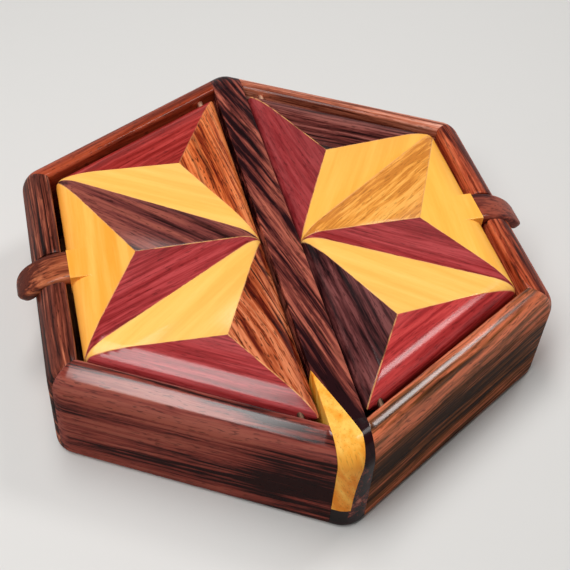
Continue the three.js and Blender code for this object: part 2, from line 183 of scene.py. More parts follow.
def outline(faces, inset):
    """Points round a plan: an arc at each corner and evenly spaced points along each side."""
    arcs = []
    for i, a in enumerate(faces):
        b = faces[(i + 1) % len(faces)]
        turn = (b.angle - a.angle) % (2 * math.pi)
        radius = max(a.corner - inset, CREASE) if a.corner else 0
        centre = meet(a, b, inset + radius)
        arcs.append([
            centre + radius * Vector((math.cos(angle), math.sin(angle)))
            for angle in (a.angle + turn * k / CORNER_STEPS for k in range(CORNER_STEPS + 1))
        ])
    points = []
    for i, arc in enumerate(arcs):
        start = arc[-1]
        end = arcs[(i + 1) % len(arcs)][0]
        points += arc
        points += [start.lerp(end, k / SIDE_SPANS) for k in range(1, SIDE_SPANS)]
    return points


def loft(rings, closed=False):
    """A skin over rings of equally many points. A closed one joins its last ring to its first."""
    bm = bmesh.new()
    loops = [[bm.verts.new((p.x, p.y, z)) for p in points] for points, z in rings]
    count = len(loops[0])
    pairs = list(zip(loops, loops[1:]))
    if closed:
        pairs.append((loops[-1], loops[0]))
    for low, high in pairs:
        for i in range(count):
            j = (i + 1) % count
            bm.faces.new((low[i], low[j], high[j], high[i]))
    if not closed:
        bm.faces.new(reversed(loops[0]))
        bm.faces.new(loops[-1])
    bmesh.ops.remove_doubles(bm, verts=bm.verts, dist=WELD)
    return bm


def quarter(steps):
    return [math.pi / 2 * k / steps for k in range(steps + 1)]


def case_levels():
    """Inset and height up the outside of the case, from the table to the crest of the rim."""
    foot = [
        (FOOT_RADIUS * (1 - math.sin(a)), FOOT_RADIUS * (1 - math.cos(a)))
        for a in quarter(SMALL_ROUND_STEPS)
    ]
    roll = [
        (RIM_OUTER_RADIUS * (1 - math.cos(a)), CASE_HEIGHT - RIM_OUTER_RADIUS * (1 - math.sin(a)))
        for a in quarter(ROUND_STEPS)
    ]
    return foot + roll


def case_block():
    faces = hexagon_faces(CASE_APOTHEM, CORNER_RADIUS)
    return loft([(outline(faces, inset), z) for inset, z in case_levels()])


def case_ring():
    """The six walls as one closed ring, before it is cut at the mitres."""
    outer = hexagon_faces(CASE_APOTHEM, CORNER_RADIUS)
    inner = hexagon_faces(INNER_APOTHEM, 0)
    rings = [(outline(outer, inset), z) for inset, z in case_levels()]
    for angle in quarter(SMALL_ROUND_STEPS):
        inset = -RIM_INNER_RADIUS * (1 - math.sin(angle))
        z = CASE_HEIGHT - RIM_INNER_RADIUS * (1 - math.cos(angle))
        rings.append((outline(inner, inset), z))
    rings.append((outline(inner, 0), 0))
    return loft(rings, closed=True)


# Cutting and joining

def cut(bm, point, normal):
    """Keeps what lies behind a plane, and closes the cut."""
    everything = bm.verts[:] + bm.edges[:] + bm.faces[:]
    result = bmesh.ops.bisect_plane(
        bm, geom=everything, dist=WELD, plane_co=point, plane_no=normal, clear_outer=True,
    )
    rim = [item for item in result["geom_cut"] if isinstance(item, bmesh.types.BMEdge)]
    bmesh.ops.edgeloop_fill(bm, edges=rim)


def ease_cuts(bm, planes, width):
    """Takes the arris off every edge that a cut left."""
    def on_cut(face):
        return any(
            abs(face.normal.dot(normal)) > PARALLEL
            and all(abs((v.co - point).dot(normal)) < SAME_PLACE for v in face.verts)
            for point, normal in planes
        )

    bm.normal_update()
    edges = [e for e in bm.edges if len(e.link_faces) == 2 and any(map(on_cut, e.link_faces))]
    edges = [e for e in edges if e.calc_face_angle(0) > CUT_ANGLE]
    bmesh.ops.bevel(
        bm, geom=edges, offset=width, segments=2, profile=0.5, affect="EDGES", clamp_overlap=True,
    )


def prism(points, axis, start, end):
    """A straight prism over a closed outline. axis is Y or Z; the outline is (x, z) or (x, y)."""
    bm = bmesh.new()

    def place(p, along):
        return (p[0], along, p[1]) if axis == "Y" else (p[0], p[1], along)

    low = [bm.verts.new(place(p, start)) for p in points]
    high = [bm.verts.new(place(p, end)) for p in points]
    bm.faces.new(low)
    bm.faces.new(reversed(high))
    for i in range(len(points)):
        j = (i + 1) % len(points)
        bm.faces.new((low[i], high[i], high[j], low[j]))
    bmesh.ops.recalc_face_normals(bm, faces=bm.faces)
    return bm


def box(x, y, z):
    corners = [(x[0], y[0]), (x[1], y[0]), (x[1], y[1]), (x[0], y[1])]
    return prism(corners, "Z", z[0], z[1])


def temporary(bm):
    mesh = bpy.data.meshes.new("tool")
    bm.to_mesh(mesh)
    bm.free()
    tool = bpy.data.objects.new("tool", mesh)
    bpy.context.scene.collection.objects.link(tool)
    return tool


def combined(bm, other, operation):
    """Joins or cuts one closed shape with another, which is used up."""
    target = temporary(bm)
    tool = temporary(other)
    modifier = target.modifiers.new("combine", "BOOLEAN")
    modifier.operation = operation
    modifier.solver = "EXACT"
    modifier.object = tool
    depsgraph = bpy.context.evaluated_depsgraph_get()
    mesh = bpy.data.meshes.new_from_object(target.evaluated_get(depsgraph))
    result = bmesh.new()
    result.from_mesh(mesh)
    for item in (target, tool):
        bpy.data.objects.remove(item)
    bpy.data.meshes.remove(mesh)
    return result


def finish_piece(name, bm, body, material):
    """Turns a shape into a piece that stands for the CAD node of the same name."""
    bmesh.ops.recalc_face_normals(bm, faces=bm.faces)
    mesh = bpy.data.meshes.new(name)
    bm.to_mesh(mesh)
    bm.free()
    mesh.shade_smooth()
    mesh.set_sharp_from_angle(angle=CREASE_ANGLE)
    mesh.materials.append(material)
    piece = bpy.data.objects.new("fine_" + name, mesh)
    bpy.context.scene.collection.objects.link(piece)
    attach(piece, body)
    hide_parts(name)
    return piece


# Wood and metal materials

def srgb(red, green, blue):
    def linear(value):
        value /= 255
        return value / 12.92 if value <= 0.04045 else ((value + 0.055) / 1.055) ** 2.4
    return (linear(red), linear(green), linear(blue), 1.0)


class Graph:
    """A material under construction, with short calls for the nodes that it needs."""

    def __init__(self, name):
        self.material = bpy.data.materials.new(name)
        self.material.use_nodes = True
        self.tree = self.material.node_tree
        self.shader = self.tree.nodes["Principled BSDF"]

    def feed(self, socket, value):
        if isinstance(value, bpy.types.NodeSocket):
            self.tree.links.new(value, socket)
        else:
            socket.default_value = value

    def node(self, kind, **settings):
        node = self.tree.nodes.new(kind)
        for key, value in settings.items():
            setattr(node, key, value)
        return node

    def math(self, operation, a, b=0.0, clamp=False):
        node = self.node("ShaderNodeMath", operation=operation, use_clamp=clamp)
        self.feed(node.inputs[0], a)
        self.feed(node.inputs[1], b)
        return node.outputs[0]

    def mapped(self, vector, scale=(1, 1, 1), rotation=(0, 0, 0), location=(0, 0, 0)):
        node = self.node("ShaderNodeMapping")
        self.feed(node.inputs["Vector"], vector)
        node.inputs["Scale"].default_value = scale
        node.inputs["Rotation"].default_value = rotation
        node.inputs["Location"].default_value = location
        return node.outputs[0]

    def noise(self, vector, scale, detail=3.0, roughness=0.5):
        """Soft noise whose cells measure 1/scale along each axis."""
        node = self.node("ShaderNodeTexNoise")
        self.feed(node.inputs["Vector"], self.mapped(vector, scale=scale))
        node.inputs["Scale"].default_value = 1.0
        node.inputs["Detail"].default_value = detail
        node.inputs["Roughness"].default_value = roughness
        return node.outputs["Fac"]

    def around_zero(self, value, size):
        return self.math("MULTIPLY", self.math("SUBTRACT", value, 0.5), size)

    def ranged(self, value, low, high, start=0.0, end=1.0):
        node = self.node("ShaderNodeMapRange", interpolation_type="SMOOTHSTEP")
        self.feed(node.inputs["Value"], value)
        node.inputs["From Min"].default_value = low
        node.inputs["From Max"].default_value = high
        node.inputs["To Min"].default_value = start
        node.inputs["To Max"].default_value = end
        return node.outputs[0]

    def ramp(self, value, stops):
        node = self.node("ShaderNodeValToRGB")
        self.feed(node.inputs[0], value)
        elements = node.color_ramp.elements
        while len(elements) < len(stops):
            elements.new(0.5)
        for element, (position, colour) in zip(elements, stops):
            element.position = position
            element.color = srgb(*colour)
        return node.outputs[0]

    def mix(self, factor, a, b):
        node = self.node("ShaderNodeMix", data_type="RGBA")
        self.feed(node.inputs["Factor"], factor)
        self.feed(node.inputs[6], a)
        self.feed(node.inputs[7], b)
        return node.outputs[2]


# What a wood has unless something else is said of it. dip is how steeply its fibres dive into the
# board, in degrees. shade makes it lighter or darker. drifts do that along the box: axis, start,
# end and amount; on some staves they paint a sheen on the crest, shade on the wall and a dark
# reflection along it. gloss is the roughness of the bare wood, coat the weight of the polish on
# it, and satin the share of the polish below the rim. uneven is how much the hand sanding shows,
# and glue how much the glue lines do.
PLAIN_LOOK = dict(
    dip=1.8, shade=0.0, drifts=(), gloss=0.34, coat=0.35, satin=1.0, uneven=0.5, glue=1.0,
)

# Each wood has a dark, a middle and a light colour. Its broad bands and its streaks are so many
# millimetres wide and long. Its rings are black lines so far apart, and wander so far from side
# to side. Bands, rings, pores and fibres each have a strength.
WOODS = {
    "rosewood": dict(
        colours=((34, 10, 6), (108, 44, 28), (166, 84, 52)), band=(11, 160), bands=0.9,
        streak=(2.0, 180), rings=0.8, ring_gap=3.2, wander=10, pores=0.6, fibres=0.45,
    ),
    "yellow_wood": dict(
        colours=((249, 184, 87), (252, 193, 96), (255, 200, 105)), band=(16, 120), bands=0.7,
        streak=(5, 120), rings=0, ring_gap=5, wander=5, pores=0.04, fibres=0.25,
    ),
    "red_wood": dict(
        colours=((128, 32, 34), (156, 50, 52), (180, 68, 70)), band=(10, 90), bands=0.5,
        streak=(1.6, 110), rings=0.2, ring_gap=2.6, wander=6, pores=0.4, fibres=0.5,
    ),
    "orange_cocobolo": dict(
        colours=((106, 30, 10), (182, 84, 40), (220, 122, 68)), band=(9, 120), bands=0.9,
        streak=(2.0, 120), rings=0.85, ring_gap=3.2, wander=10, pores=0.85, fibres=0.5,
    ),
    "dark_cocobolo": dict(
        colours=((34, 12, 14), (94, 42, 40), (142, 76, 66)), band=(10, 120), bands=1.0,
        streak=(2.2, 150), rings=0.7, ring_gap=4.0, wander=10, pores=0.6, fibres=0.45,
    ),
    "figured_tan_wood": dict(
        colours=((202, 126, 50), (230, 154, 66), (248, 178, 88)), band=(8, 70), bands=1.5,
        streak=(1.5, 22), rings=0.0, ring_gap=3.0, wander=6, pores=0.3, fibres=0.8,
    ),
    "ebony": dict(
        colours=((8, 4, 4), (18, 10, 9), (32, 20, 18)), band=(8, 60), bands=0.3,
        streak=(1.5, 60), rings=0, ring_gap=3, wander=4, pores=0.2, fibres=0.3,
    ),
    "floor_board": dict(
        colours=((78, 44, 26), (104, 64, 40), (130, 84, 54)), band=(14, 140), bands=0.6,
        streak=(3.0, 160), rings=0.3, ring_gap=5, wander=12, pores=0.4, fibres=0.4,
        gloss=0.6, coat=0,
    ),
}
TONE_STOPS = (0.33, 0.5, 0.67)   # tones at which the dark, middle and light colours lie
FIBRE_ROLL = math.radians(14)
SEED_STEPS = (37.0, 23.0, 11.0)  # millimetres between two boards' places in the noise

# Cells per millimetre along the fibres, across them and into the board
WAVES = (0.014, 0.05, 0.05)
FINE_FIBRES = (0.07, 1.2, 1.2)
RING_SWELLS = (0.02, 0.22, 0.22)
PORE_DASHES = (0.26, 1.7, 1.7)
SANDING = (0.05, 0.09, 0.09)
GLUE_CELLS = 0.25                # the same every way
RING_BENDS = (0.8, 0.28, 0.28)   # cells per streak length and per gap between rings

# Between these values of its noise or saw a mark comes in or goes out
RING_START = (0.55, 0.84)
RING_END = (0.88, 0.99)
RING_SWELL = (0.42, 0.60)
RING_BEND = 5.0                  # how many gaps a ring wanders
PORES = (0.58, 0.70)
GLUE_START = (0.36, 0.56)

INK = (16, 4, 4)
INK_IN_PORES = 0.85
GLUE = (242, 178, 112)
GLUE_PATCHES = (0.15, 0.7)   # the weakest and the strongest patch of a glue line
SEAM_LINE = (0.08 * MM, 0.30 * MM)
FIBRE_ROUGHNESS = 0.16
PORE_ROUGHNESS = 0.2
SATIN_TOP = 36 * MM          # up to here a stave has its satin share of the polish
POLISH_START = 41.5 * MM     # and from here all of it
POLISH_ROUGHNESS = 0.17
GRAIN_RELIEF = 0.06 * MM
GRAIN_STRENGTH = 0.25
FIBRE_SHARE = 0.6            # how high the fibres stand beside the depth of the pores
SANDING_RELIEF = 0.25 * MM


def seam_nearness(g, at, seams):
    """1 beside a glued face of the piece, and 0 a hair further in."""
    nearest = None
    for point, normal in seams:
        along = g.node("ShaderNodeVectorMath", operation="DOT_PRODUCT")
        g.feed(along.inputs[0], at)
        along.inputs[1].default_value = normal
        depth = g.math("SUBTRACT", point.dot(normal), along.outputs["Value"])
        nearest = depth if nearest is None else g.math("MINIMUM", nearest, depth)
    return g.ranged(nearest, *SEAM_LINE, 1.0, 0.0)


def wood(species, piece, grain, seed, seams=(), **changes):
    """One board's own wood. grain is the direction of its fibres, in degrees from +X."""
    look = {**PLAIN_LOOK, **WOODS[species], **changes}
    g = Graph(f"{species}.{piece}")
    at = g.node("ShaderNodeTexCoord").outputs["Object"]
    level = g.mapped(at, scale=(1 / MM,) * 3, rotation=(0, 0, -math.radians(grain)))
    board = g.mapped(
        level,
        rotation=(FIBRE_ROLL, math.radians(look["dip"]), 0),
        location=tuple(seed * step for step in SEED_STEPS),
    )

    # Slow waves push the fibres sideways.
    push = g.around_zero(g.noise(board, WAVES, 2.0), look["wander"] * 0.5)
    shift = g.node("ShaderNodeCombineXYZ")
    g.feed(shift.inputs[1], push)
    g.feed(shift.inputs[2], push)
    moved = g.node("ShaderNodeVectorMath", operation="ADD")
    g.feed(moved.inputs[0], board)
    g.feed(moved.inputs[1], shift.outputs[0])
    fibre = moved.outputs[0]

    band_width, band_length = look["band"]
    width, length = look["streak"]
    tone = g.noise(fibre, (1 / length, 1 / width, 1 / width), 3.0, 0.55)
    broad = g.noise(fibre, (1 / band_length, 1 / band_width, 1 / band_width), 2.0)
    fine = g.noise(fibre, FINE_FIBRES, 3.0, 0.6)
    tone = g.math("ADD", tone, look["shade"])
    tone = g.math("ADD", tone, g.around_zero(broad, look["bands"]))
    tone = g.math("ADD", tone, g.around_zero(fine, look["fibres"]))
    # Drifts shift the tone along one axis of the box; on some staves this is painted sheen and
    # shade.
    for axis, start, end, amount in look["drifts"]:
        place = g.node("ShaderNodeSeparateXYZ")
        g.feed(place.inputs[0], at)
        low, high = sorted((start, end))
        ends = (0.0, amount) if start < end else (amount, 0.0)
        tone = g.math("ADD", tone, g.ranged(place.outputs[axis], low, high, *ends))
    colour = g.ramp(tone, list(zip(TONE_STOPS, look["colours"])))

    # Black rings run along the fibres. They swell, thin out and fade away.
    if look["rings"]:
        gap = look["ring_gap"]
        across = g.node("ShaderNodeSeparateXYZ")
        g.feed(across.inputs[0], fibre)
        bends = tuple(cells / size for cells, size in zip(RING_BENDS, (length, gap, gap)))
        bend = g.around_zero(g.noise(fibre, bends, 3.0), RING_BEND)
        phase = g.math("ADD", g.math("MULTIPLY", across.outputs[1], 1 / gap), bend)
        saw = g.math("FRACT", phase)
        line = g.math("MULTIPLY", g.ranged(saw, *RING_START), g.ranged(saw, *RING_END, 1.0, 0.0))
        swell = g.ranged(g.noise(fibre, RING_SWELLS, 2.0), *RING_SWELL)
        amount = g.math("MULTIPLY", g.math("MULTIPLY", line, swell), look["rings"])
        colour = g.mix(amount, colour, srgb(*INK))

    # Pores are short dark dashes.
    pores = g.ranged(g.noise(fibre, PORE_DASHES, 1.0), *PORES)
    depth = g.math("MULTIPLY", pores, look["pores"])
    colour = g.mix(depth, colour, g.mix(INK_IN_PORES, colour, srgb(*INK)))

    # Pale glue and filler show beside the glued faces.
    if seams:
        patches = g.noise(at, (GLUE_CELLS / MM,) * 3, 2.0)
        patches = g.ranged(patches, *GLUE_START, *GLUE_PATCHES)
        patches = g.math("MULTIPLY", patches, look["glue"])
        line = g.math("MULTIPLY", seam_nearness(g, at, seams), patches)
        colour = g.mix(line, colour, srgb(*GLUE))

    g.feed(g.shader.inputs["Base Color"], colour)
    rough = g.math("MULTIPLY", fine, FIBRE_ROUGHNESS)
    rough = g.math("ADD", rough, look["gloss"] - FIBRE_ROUGHNESS / 2)
    rough = g.math("ADD", rough, g.math("MULTIPLY", pores, PORE_ROUGHNESS), clamp=True)
    g.feed(g.shader.inputs["Roughness"], rough)
    g.shader.inputs["Specular IOR Level"].default_value = 0.0
    coat = look["coat"]
    g.shader.inputs["Coat Weight"].default_value = coat
    g.shader.inputs["Coat Roughness"].default_value = POLISH_ROUGHNESS
    if look["satin"] < 1:
        place = g.node("ShaderNodeSeparateXYZ")
        g.feed(place.inputs[0], at)
        polish = g.ranged(place.outputs[2], SATIN_TOP, POLISH_START, look["satin"] * coat, coat)
        g.feed(g.shader.inputs["Coat Weight"], polish)

    # Pores and fibres are felt in the surface, which was also sanded by hand.
    grainy = g.node("ShaderNodeBump")
    grainy.inputs["Strength"].default_value = GRAIN_STRENGTH
    grainy.inputs["Distance"].default_value = GRAIN_RELIEF
    relief = g.math("SUBTRACT", g.math("MULTIPLY", fine, FIBRE_SHARE), pores)
    g.feed(grainy.inputs["Height"], relief)
    uneven = g.node("ShaderNodeBump")
    uneven.inputs["Strength"].default_value = look["uneven"]
    uneven.inputs["Distance"].default_value = SANDING_RELIEF
    g.feed(uneven.inputs["Height"], g.noise(board, SANDING, 1.0))
    g.feed(uneven.inputs["Normal"], grainy.outputs[0])
    g.feed(g.shader.inputs["Normal"], uneven.outputs[0])
    return g.material


BRIGHT_BRASS = [(0.3, (226, 172, 136)), (0.7, (250, 212, 182))]
# Brass darkened to stand for shade
BRASS_IN_PAINTED_SHADE = [(0.3, (40, 22, 16)), (0.7, (64, 38, 26))]
BRASS_MARKS = (2 / MM, 0.2 / MM, 2 / MM)
MARKS_RANGE = (0.2, 0.8)
BRASS_ROUGHNESS = (0.35, 0.55)


def brass(name, painted_shade):
    """Brass with fine marks along the pin. Its second argument runs from 0, bright, to 1, browned
    as painted shade.
    """
    g = Graph(name)
    at = g.node("ShaderNodeTexCoord").outputs["Object"]
    marks = g.noise(at, BRASS_MARKS, 3.0)
    colour = g.mix(painted_shade, g.ramp(marks, BRIGHT_BRASS), g.ramp(marks, BRASS_IN_PAINTED_SHADE))
    g.feed(g.shader.inputs["Base Color"], colour)
    g.feed(g.shader.inputs["Roughness"], g.ranged(marks, *MARKS_RANGE, *BRASS_ROUGHNESS))
    g.shader.inputs["Metallic"].default_value = 1.0
    return g.material


# Staves

def notch(side):
    """The slot for a pull, its floor concentric with the pull's bend."""
    floor_radius = PULL_BEND_RADIUS - PULL_THICKNESS - NOTCH_FLOOR_CLEARANCE
    start = INNER_APOTHEM - OVERRUN / 2
    end = CASE_APOTHEM + OVERRUN / 4
    points = []
    for k in range(CURVE_STEPS + 1):
        x = start + (end - start) * k / CURVE_STEPS
        z = PULL_CENTRE_Z + math.sqrt(floor_radius ** 2 - (x - PULL_ROOT_X) ** 2)
        points.append((side * x, z))
    points.append((side * end, CASE_HEIGHT + OVERRUN))
    points.append((side * start, CASE_HEIGHT + OVERRUN))
    half = PULL_WIDTH / 2 + NOTCH_SIDE_CLEARANCE
    return prism(points, "Y", PULL_SHIFT[side] - half, PULL_SHIFT[side] + half)


def ease_notch(bm, side):
    half = PULL_WIDTH / 2 + NOTCH_SIDE_CLEARANCE
    walls = [
        (Vector((0, PULL_SHIFT[side] + sign * half, 0)), Vector((0, 1, 0))) for sign in (-1, 1)
    ]
    ease_cuts(bm, walls, NOTCH_EASE)


# Name, place round the case in steps of 30 degrees, seed and what is special about the wood
STAVES = [
    ("stave_right_side", 0, 3.1, dict(
        colours=((82, 22, 10), (166, 70, 42), (212, 112, 74)), rings=0.55, shade=0.06,
        satin=0.3)),
    # Its light colours, with the rise from 32 to 42 mm, paint a sunlit sheen on the crest; its
    # shade takes the wall below back down.
    ("stave_right_far", 2, 7.7, dict(
        colours=((104, 44, 28), (190, 108, 80), (232, 168, 146)), rings=0.3, shade=-0.11,
        satin=0.3, drifts=[(2, 32 * MM, 42 * MM, 0.14)])),
    ("stave_left_far", 4, 1.3, dict(
        colours=((108, 36, 16), (148, 58, 32), (170, 74, 44)), rings=0.3, satin=0.3)),
    ("stave_left_side", 6, 5.9, dict(
        colours=((28, 8, 6), (114, 54, 40), (204, 120, 88)), rings=1.0, ring_gap=2.4,
        streak=(1.8, 360), wander=5, fibres=0.3, shade=-0.03, satin=0.3)),
    # Its small rise from 28 to 40 mm paints a sheen on the crest, and its darkening from x -44 to
    # -22 mm and on to the near corner paints a dark reflection on the stave.
    ("stave_left_near", 8, 9.2, dict(
        colours=((36, 5, 4), (130, 54, 44), (156, 80, 64)), rings=0.25, coat=0.9, satin=0.2,
        drifts=[(2, 28 * MM, 40 * MM, 0.02), (0, -44 * MM, -22 * MM, -0.18)])),
    # Its shade darkens the wall as painted shade, and its rise from 31 to 41 mm paints a sheen on
    # the crest.
    ("stave_right_near", 10, 2.4, dict(
        colours=((50, 26, 8), (116, 64, 30), (206, 110, 74)), rings=0.5, ring_gap=3.0,
        bands=0.5, coat=0.9, satin=0.15, shade=-0.05, drifts=[(2, 31 * MM, 41 * MM, 0.14)])),
]


def make_staves():
    for name, place, seed, changes in STAVES:
        bm = case_ring()
        middle = place * MITRE
        planes = []
        for sign in (-1, 1):
            edge = middle + sign * MITRE
            outward = Vector((-math.sin(edge), math.cos(edge), 0)) * sign
            point = -outward * SEAM
            if abs(math.cos(edge)) < SAME_PLACE:
                side = 1 if math.cos(middle) > 0 else -1
                outward = Vector((-side, 0, 0))
                point = Vector((side * (BOARD_HALF + SEAM), 0, 0))
            planes.append((point, outward))
        for point, normal in planes:
            cut(bm, point, normal)
        ease_cuts(bm, planes, SEAM_EASE)
        if name.endswith("side"):
            side = 1 if place == 0 else -1
            bm = combined(bm, notch(side), "DIFFERENCE")
            ease_notch(bm, side)
        grain = math.degrees(middle) + 90
        material = wood("rosewood", name, grain, seed, **changes)
        finish_piece(name, bm, "case", material)


# Centre board, inlay and plug

def bezier(p0, p1, p2, p3):
    """Points along a cubic curve."""
    points = []
    for k in range(CURVE_STEPS + 1):
        t = k / CURVE_STEPS
        s = 1 - t
        points.append(s ** 3 * p0 + 3 * s * s * t * p1 + 3 * s * t * t * p2 + t ** 3 * p3)
    return points


def inlay_plan():
    left = -BOARD_HALF
    near = -CORNER_REACH
    curve = bezier(*(
        Vector((left + across * INLAY_WIDTH, near + along * INLAY_LENGTH))
        for across, along in INLAY_CURVE
    ))
    points = [(left - OVERRUN, curve[0].y)]
    points += [(p.x, p.y) for p in curve]
    points += [(left + INLAY_WIDTH, near - OVERRUN), (left - OVERRUN, near - OVERRUN)]
    return prism(points, "Z", -OVERRUN, CASE_HEIGHT + OVERRUN)


def inlay_front():
    left = -BOARD_HALF
    start = Vector((left + INLAY_FOOT_WIDTH, INLAY_FOOT_Z))
    bend_z = INLAY_FOOT_Z + INLAY_BEND * (CASE_HEIGHT - INLAY_FOOT_Z)
    bend = Vector((left + INLAY_FOOT_WIDTH, bend_z))
    end = Vector((left + INLAY_WIDTH, CASE_HEIGHT))
    points = [(left - OVERRUN, INLAY_FOOT_Z)]
    for k in range(CURVE_STEPS + 1):
        t = k / CURVE_STEPS
        p = (1 - t) ** 2 * start + 2 * t * (1 - t) * bend + t * t * end
        points.append((p.x, p.y))
    points += [(end.x, CASE_HEIGHT + OVERRUN), (left - OVERRUN, CASE_HEIGHT + OVERRUN)]
    return prism(points, "Y", -2 * CORNER_REACH, 0)


def inlay_region():
    return combined(inlay_plan(), inlay_front(), "INTERSECT")


def plug_region():
    left = -BOARD_HALF
    top = INLAY_FOOT_Z
    return box(
        (left - OVERRUN, left + PLUG_WIDTH),
        (-2 * CORNER_REACH, PLUG_DEPTH - CORNER_REACH),
        (top - PLUG_HEIGHT, top),
    )


def board_slab():
    bm = case_block()
    planes = [
        (Vector((sign * BOARD_HALF, 0, 0)), Vector((sign, 0, 0))) for sign in (-1, 1)
    ]
    for point, normal in planes:
        cut(bm, point, normal)
    return bm


def ease_board(bm):
    """Eases the board's long top arrises where they stand free beside the wells."""
    reach = (INNER_APOTHEM - BOARD_HALF * math.sin(MITRE)) / math.cos(MITRE)
    for y in (-reach, reach):
        everything = bm.verts[:] + bm.edges[:] + bm.faces[:]
        bmesh.ops.bisect_plane(
            bm, geom=everything, dist=WELD, plane_co=(0, y, 0), plane_no=(0, 1, 0),
        )
    edges = []
    for e in bm.edges:
        middle = (e.verts[0].co + e.verts[1].co) / 2
        free = abs(middle.y) < reach and abs(middle.z - CASE_HEIGHT) < SAME_PLACE
        if free and all(abs(abs(v.co.x) - BOARD_HALF) < SAME_PLACE for v in e.verts):
            edges.append(e)
    bmesh.ops.bevel(
        bm, geom=edges, offset=BOARD_EASE, segments=4, profile=0.5, affect="EDGES",
    )


def make_board():
    slab = board_slab()
    ease_board(slab)
    board = combined(slab.copy(), inlay_region(), "DIFFERENCE")
    board = combined(board, plug_region(), "DIFFERENCE")
    inlay = combined(slab.copy(), inlay_region(), "INTERSECT")
    plug = combined(slab, plug_region(), "INTERSECT")
    board_wood = wood(
        "rosewood", "centre_board", 104, 4.4,
        colours=((34, 10, 14), (112, 52, 45), (174, 95, 76)), band=(10, 150), bands=1.5,
        streak=(1.8, 120), rings=0.85, ring_gap=4.2, shade=0.05,
        drifts=[(1, -88 * MM, -100 * MM, -0.25), (1, 99 * MM, 108 * MM, -0.25),
                (1, 14 * MM, 56 * MM, -0.16)],
    )
    finish_piece("centre_board", board, "case", board_wood)
    inlay_wood = wood(
        "yellow_wood", "corner_inlay", 90, 6.1,
        colours=((236, 138, 32), (248, 172, 64), (252, 196, 92)), bands=0.2, shade=-0.14,
        drifts=[(2, 24 * MM, 43 * MM, 0.22)], pores=0.25, fibres=0.15, dip=60,
    )
    finish_piece("corner_inlay", inlay, "case", inlay_wood)
    finish_piece("corner_plug", plug, "case", wood("ebony", "corner_plug", 90, 2.2))


# Lids

def slanted_y(apothem, x):
    return (apothem - x * math.sin(MITRE)) / math.cos(MITRE)


def lid_levels():
    foot = [
        (LID_FOOT_RADIUS * (1 - math.sin(a)), LID_BOTTOM + LID_FOOT_RADIUS * (1 - math.cos(a)))
        for a in quarter(LID_FOOT_STEPS)
    ]
    roll = [
        (LID_ROLL_WIDTH * (1 - math.cos(a)), LID_TOP - LID_ROLL_DEPTH * (1 - math.sin(a)))
        for a in quarter(ROUND_STEPS)
    ]
    low = foot[-1][1]
    high = roll[0][1]
    wall = [(0, low + (high - low) * k / LID_WALL_SPANS) for k in range(1, LID_WALL_SPANS)]
    return foot + wall + roll


def relieve(bm, side):
    """Draws in the lid's acute ends where they would touch the slanted staves on the way up."""
    for v in bm.verts:
        dx = side * v.co.x - PIN_X
        dz = v.co.z - PIN_Z
        radius = math.hypot(dx, dz)
        angle = math.atan2(dz, dx)
        reach = max(dx, radius * math.cos(angle + SWING))
        if angle < 0 <= angle + SWING:
            reach = radius
        limit = slanted_y(INNER_APOTHEM - TURNING_CLEARANCE, PIN_X + reach)
        if abs(v.co.y) > limit:
            v.co.y = math.copysign(limit, v.co.y)


def lid_block(side):
    faces = half_hexagon_faces(side, LID_APOTHEM, LID_INNER_X, LID_TIP_RADIUS, LID_CORNER_RADIUS)
    bm = loft([(outline(faces, inset), z) for inset, z in lid_levels()])
    relieve(bm, side)
    return bm


def star_pieces(side, shift):
    """Corners of the nine woods, and the corner that faces the lid's outline, or none."""
    def at(x, y):
        return Vector((side * x, y, 0))

    far_y = slanted_y(LID_APOTHEM, LID_INNER_X)
    side_y = slanted_y(LID_APOTHEM, LID_APOTHEM)
    reach = LID_APOTHEM - STAR_MARGIN - LID_INNER_X * math.sin(MITRE)
    reach /= math.sin(STAR_ARM_ANGLE + MITRE)
    arm_x = LID_INNER_X + reach * math.cos(STAR_ARM_ANGLE)
    arm_y = reach * math.sin(STAR_ARM_ANGLE)
    far_board = at(LID_INNER_X, far_y)
    far_side = at(LID_APOTHEM, side_y)
    near_side = at(LID_APOTHEM, -side_y)
    near_board = at(LID_INNER_X, -far_y)
    centre = at(LID_INNER_X, shift)
    far_arm = at(arm_x, shift + arm_y)
    near_arm = at(arm_x, shift - arm_y)
    outer_arm = at(LID_APOTHEM - STAR_MARGIN, shift)
    return {
        "far_edge": ((far_board, far_side, far_arm), 2),
        "far_inner": ((far_board, centre, far_arm), 2),
        "far_ray": ((far_side, far_arm, centre), None),
        "middle_far_ray": ((far_side, outer_arm, centre), None),
        "side_edge": ((far_side, near_side, outer_arm), 2),
        "middle_near_ray": ((near_side, outer_arm, centre), None),
        "near_ray": ((near_side, near_arm, centre), None),
        "near_edge": ((near_side, near_board, near_arm), 2),
        "near_inner": ((near_board, centre, near_arm), 2),
    }


def piece_planes(corners, open_corner):
    """The glued faces of one wood: a point on each, and its direction outwards."""
    planes = []
    middle = sum(corners, Vector()) / 3
    for k in range(3):
        if k == open_corner:
            continue
        start = corners[(k + 1) % 3]
        end = corners[(k + 2) % 3]
        normal = (end - start).cross(Vector((0, 0, 1))).normalized()
        if normal.dot(middle - start) > 0:
            normal = -normal
        planes.append((start - normal * SEAM, normal))
    return planes


def pull_root(side):
    """The yellow block that carries the pull, out over the lid's rolled edge."""
    inner = LID_APOTHEM - LID_ROLL_WIDTH - PULL_ROOT_LAP
    x = sorted((side * inner, side * PULL_ROOT_X))
    half = PULL_WIDTH / 2
    y = (PULL_SHIFT[side] - half, PULL_SHIFT[side] + half)
    bm = box(x, y, (LID_BOTTOM + LID_FOOT_RADIUS, LID_TOP))
    edges = [
        e for e in bm.edges
        if all(v.co.z > LID_BOTTOM + LID_FOOT_RADIUS + SAME_PLACE for v in e.verts)
        and abs(e.verts[0].co.y - e.verts[1].co.y) < SAME_PLACE
    ]
    bmesh.ops.bevel(
        bm, geom=edges, offset=PULL_ROOT_EASE, segments=3, profile=0.5, affect="EDGES",
    )
    return bm


